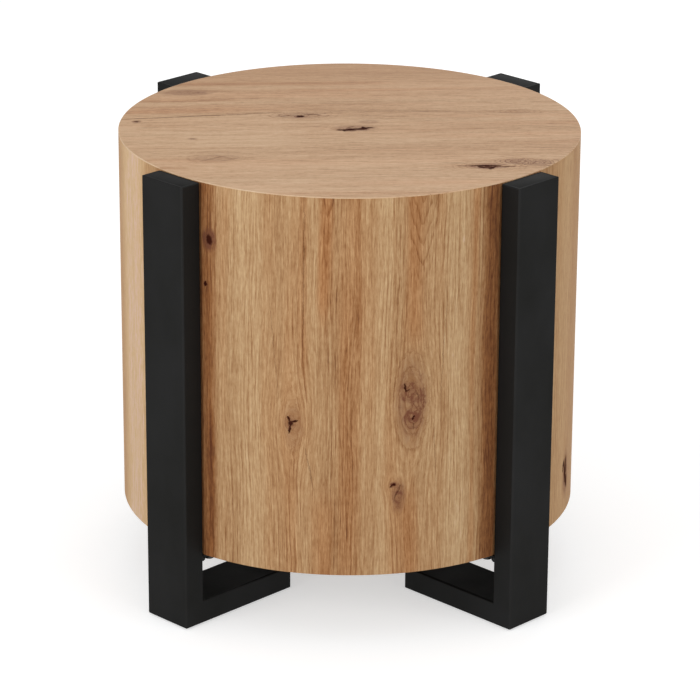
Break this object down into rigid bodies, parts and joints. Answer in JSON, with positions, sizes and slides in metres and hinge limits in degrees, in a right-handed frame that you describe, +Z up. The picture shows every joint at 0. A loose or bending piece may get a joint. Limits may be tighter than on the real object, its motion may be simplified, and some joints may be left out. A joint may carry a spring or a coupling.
{
  "type": "round end table",
  "caption": "Round end table: a closed wood-decor drum held between black steel tube legs whose foot bars run in under the drum.",
  "frame": {"origin": "on the floor, under the centre of the drum", "axes": "+Z up along the drum's axis; the front faces -Y and the legs stand on the diagonals of X and Y"},
  "size_m": [0.4899, 0.49, 0.49],
  "materials": {
    "oak_decor_top": "matt laminate, knotty oak print, grain along X",
    "oak_decor_side": "matt laminate, knotty oak print, grain upright",
    "panel_board": "raw fibreboard",
    "bending_ply": "raw bending plywood",
    "batten_pine": "planed softwood",
    "black_powder_coat": "satin powder coat, fine texture",
    "black_oxide_steel": "black oxide",
    "zinc_plated_steel": "zinc plated",
    "pad_foam": "closed-cell foam pad"
  },
  "bodies": {
    "root": {"back_left_bar_cap": "black_powder_coat", "back_left_drum_tab": "black_powder_coat", "back_left_foot_bar": "black_powder_coat", "back_left_upright": "black_powder_coat", "back_left_upright_cap": "black_powder_coat", "back_right_bar_cap": "black_powder_coat", "back_right_drum_tab": "black_powder_coat", "back_right_foot_bar": "black_powder_coat", "back_right_upright": "black_powder_coat", "back_right_upright_cap": "black_powder_coat", "batten_back_left": "batten_pine", "batten_back_right": "batten_pine", "batten_front_left": "batten_pine", "batten_front_right": "batten_pine", "bottom_panel": "panel_board", "foot_pads": "pad_foam", "front_left_bar_cap": "black_powder_coat", "front_left_drum_tab": "black_powder_coat", "front_left_foot_bar": "black_powder_coat", "front_left_upright": "black_powder_coat", "front_left_upright_cap": "black_powder_coat", "front_right_bar_cap": "black_powder_coat", "front_right_drum_tab": "black_powder_coat", "front_right_foot_bar": "black_powder_coat", "front_right_upright": "black_powder_coat", "front_right_upright_cap": "black_powder_coat", "leg_bolts": "black_oxide_steel", "side_laminate": "oak_decor_side", "square_nuts": "zinc_plated_steel", "top_laminate": "oak_decor_top", "top_panel": "panel_board", "wall_back": "bending_ply", "wall_front": "bending_ply", "wall_left": "bending_ply", "wall_right": "bending_ply"}
  },
  "joints": []
}
